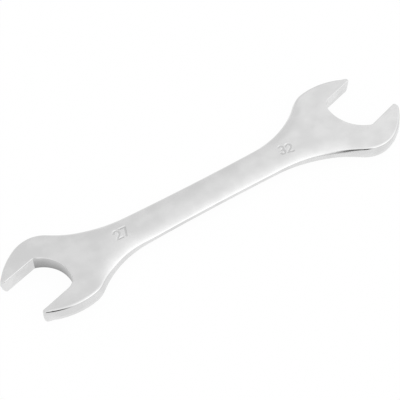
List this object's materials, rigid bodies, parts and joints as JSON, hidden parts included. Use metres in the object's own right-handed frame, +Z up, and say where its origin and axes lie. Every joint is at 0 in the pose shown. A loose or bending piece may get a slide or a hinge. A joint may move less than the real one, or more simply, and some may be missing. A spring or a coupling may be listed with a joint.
{
  "type": "open end wrench",
  "caption": "Flat forged wrench with a slanted open jaw at either end, one jaw larger than the other, and an oval shank between the heads.",
  "frame": {"origin": "centre of the bounding box, on the plane that the undersides of the two heads rest on", "axes": "+X along the shank from the small head to the large head, +Z up through the thickness, +Y to the side on which the large head has its shoulder"},
  "size_m": [0.2622, 0.062, 0.0097],
  "materials": {
    "chrome_plated_steel": "polished chrome plate on forged steel"
  },
  "bodies": {
    "root": {"wrench_forging": "chrome_plated_steel"}
  },
  "joints": []
}
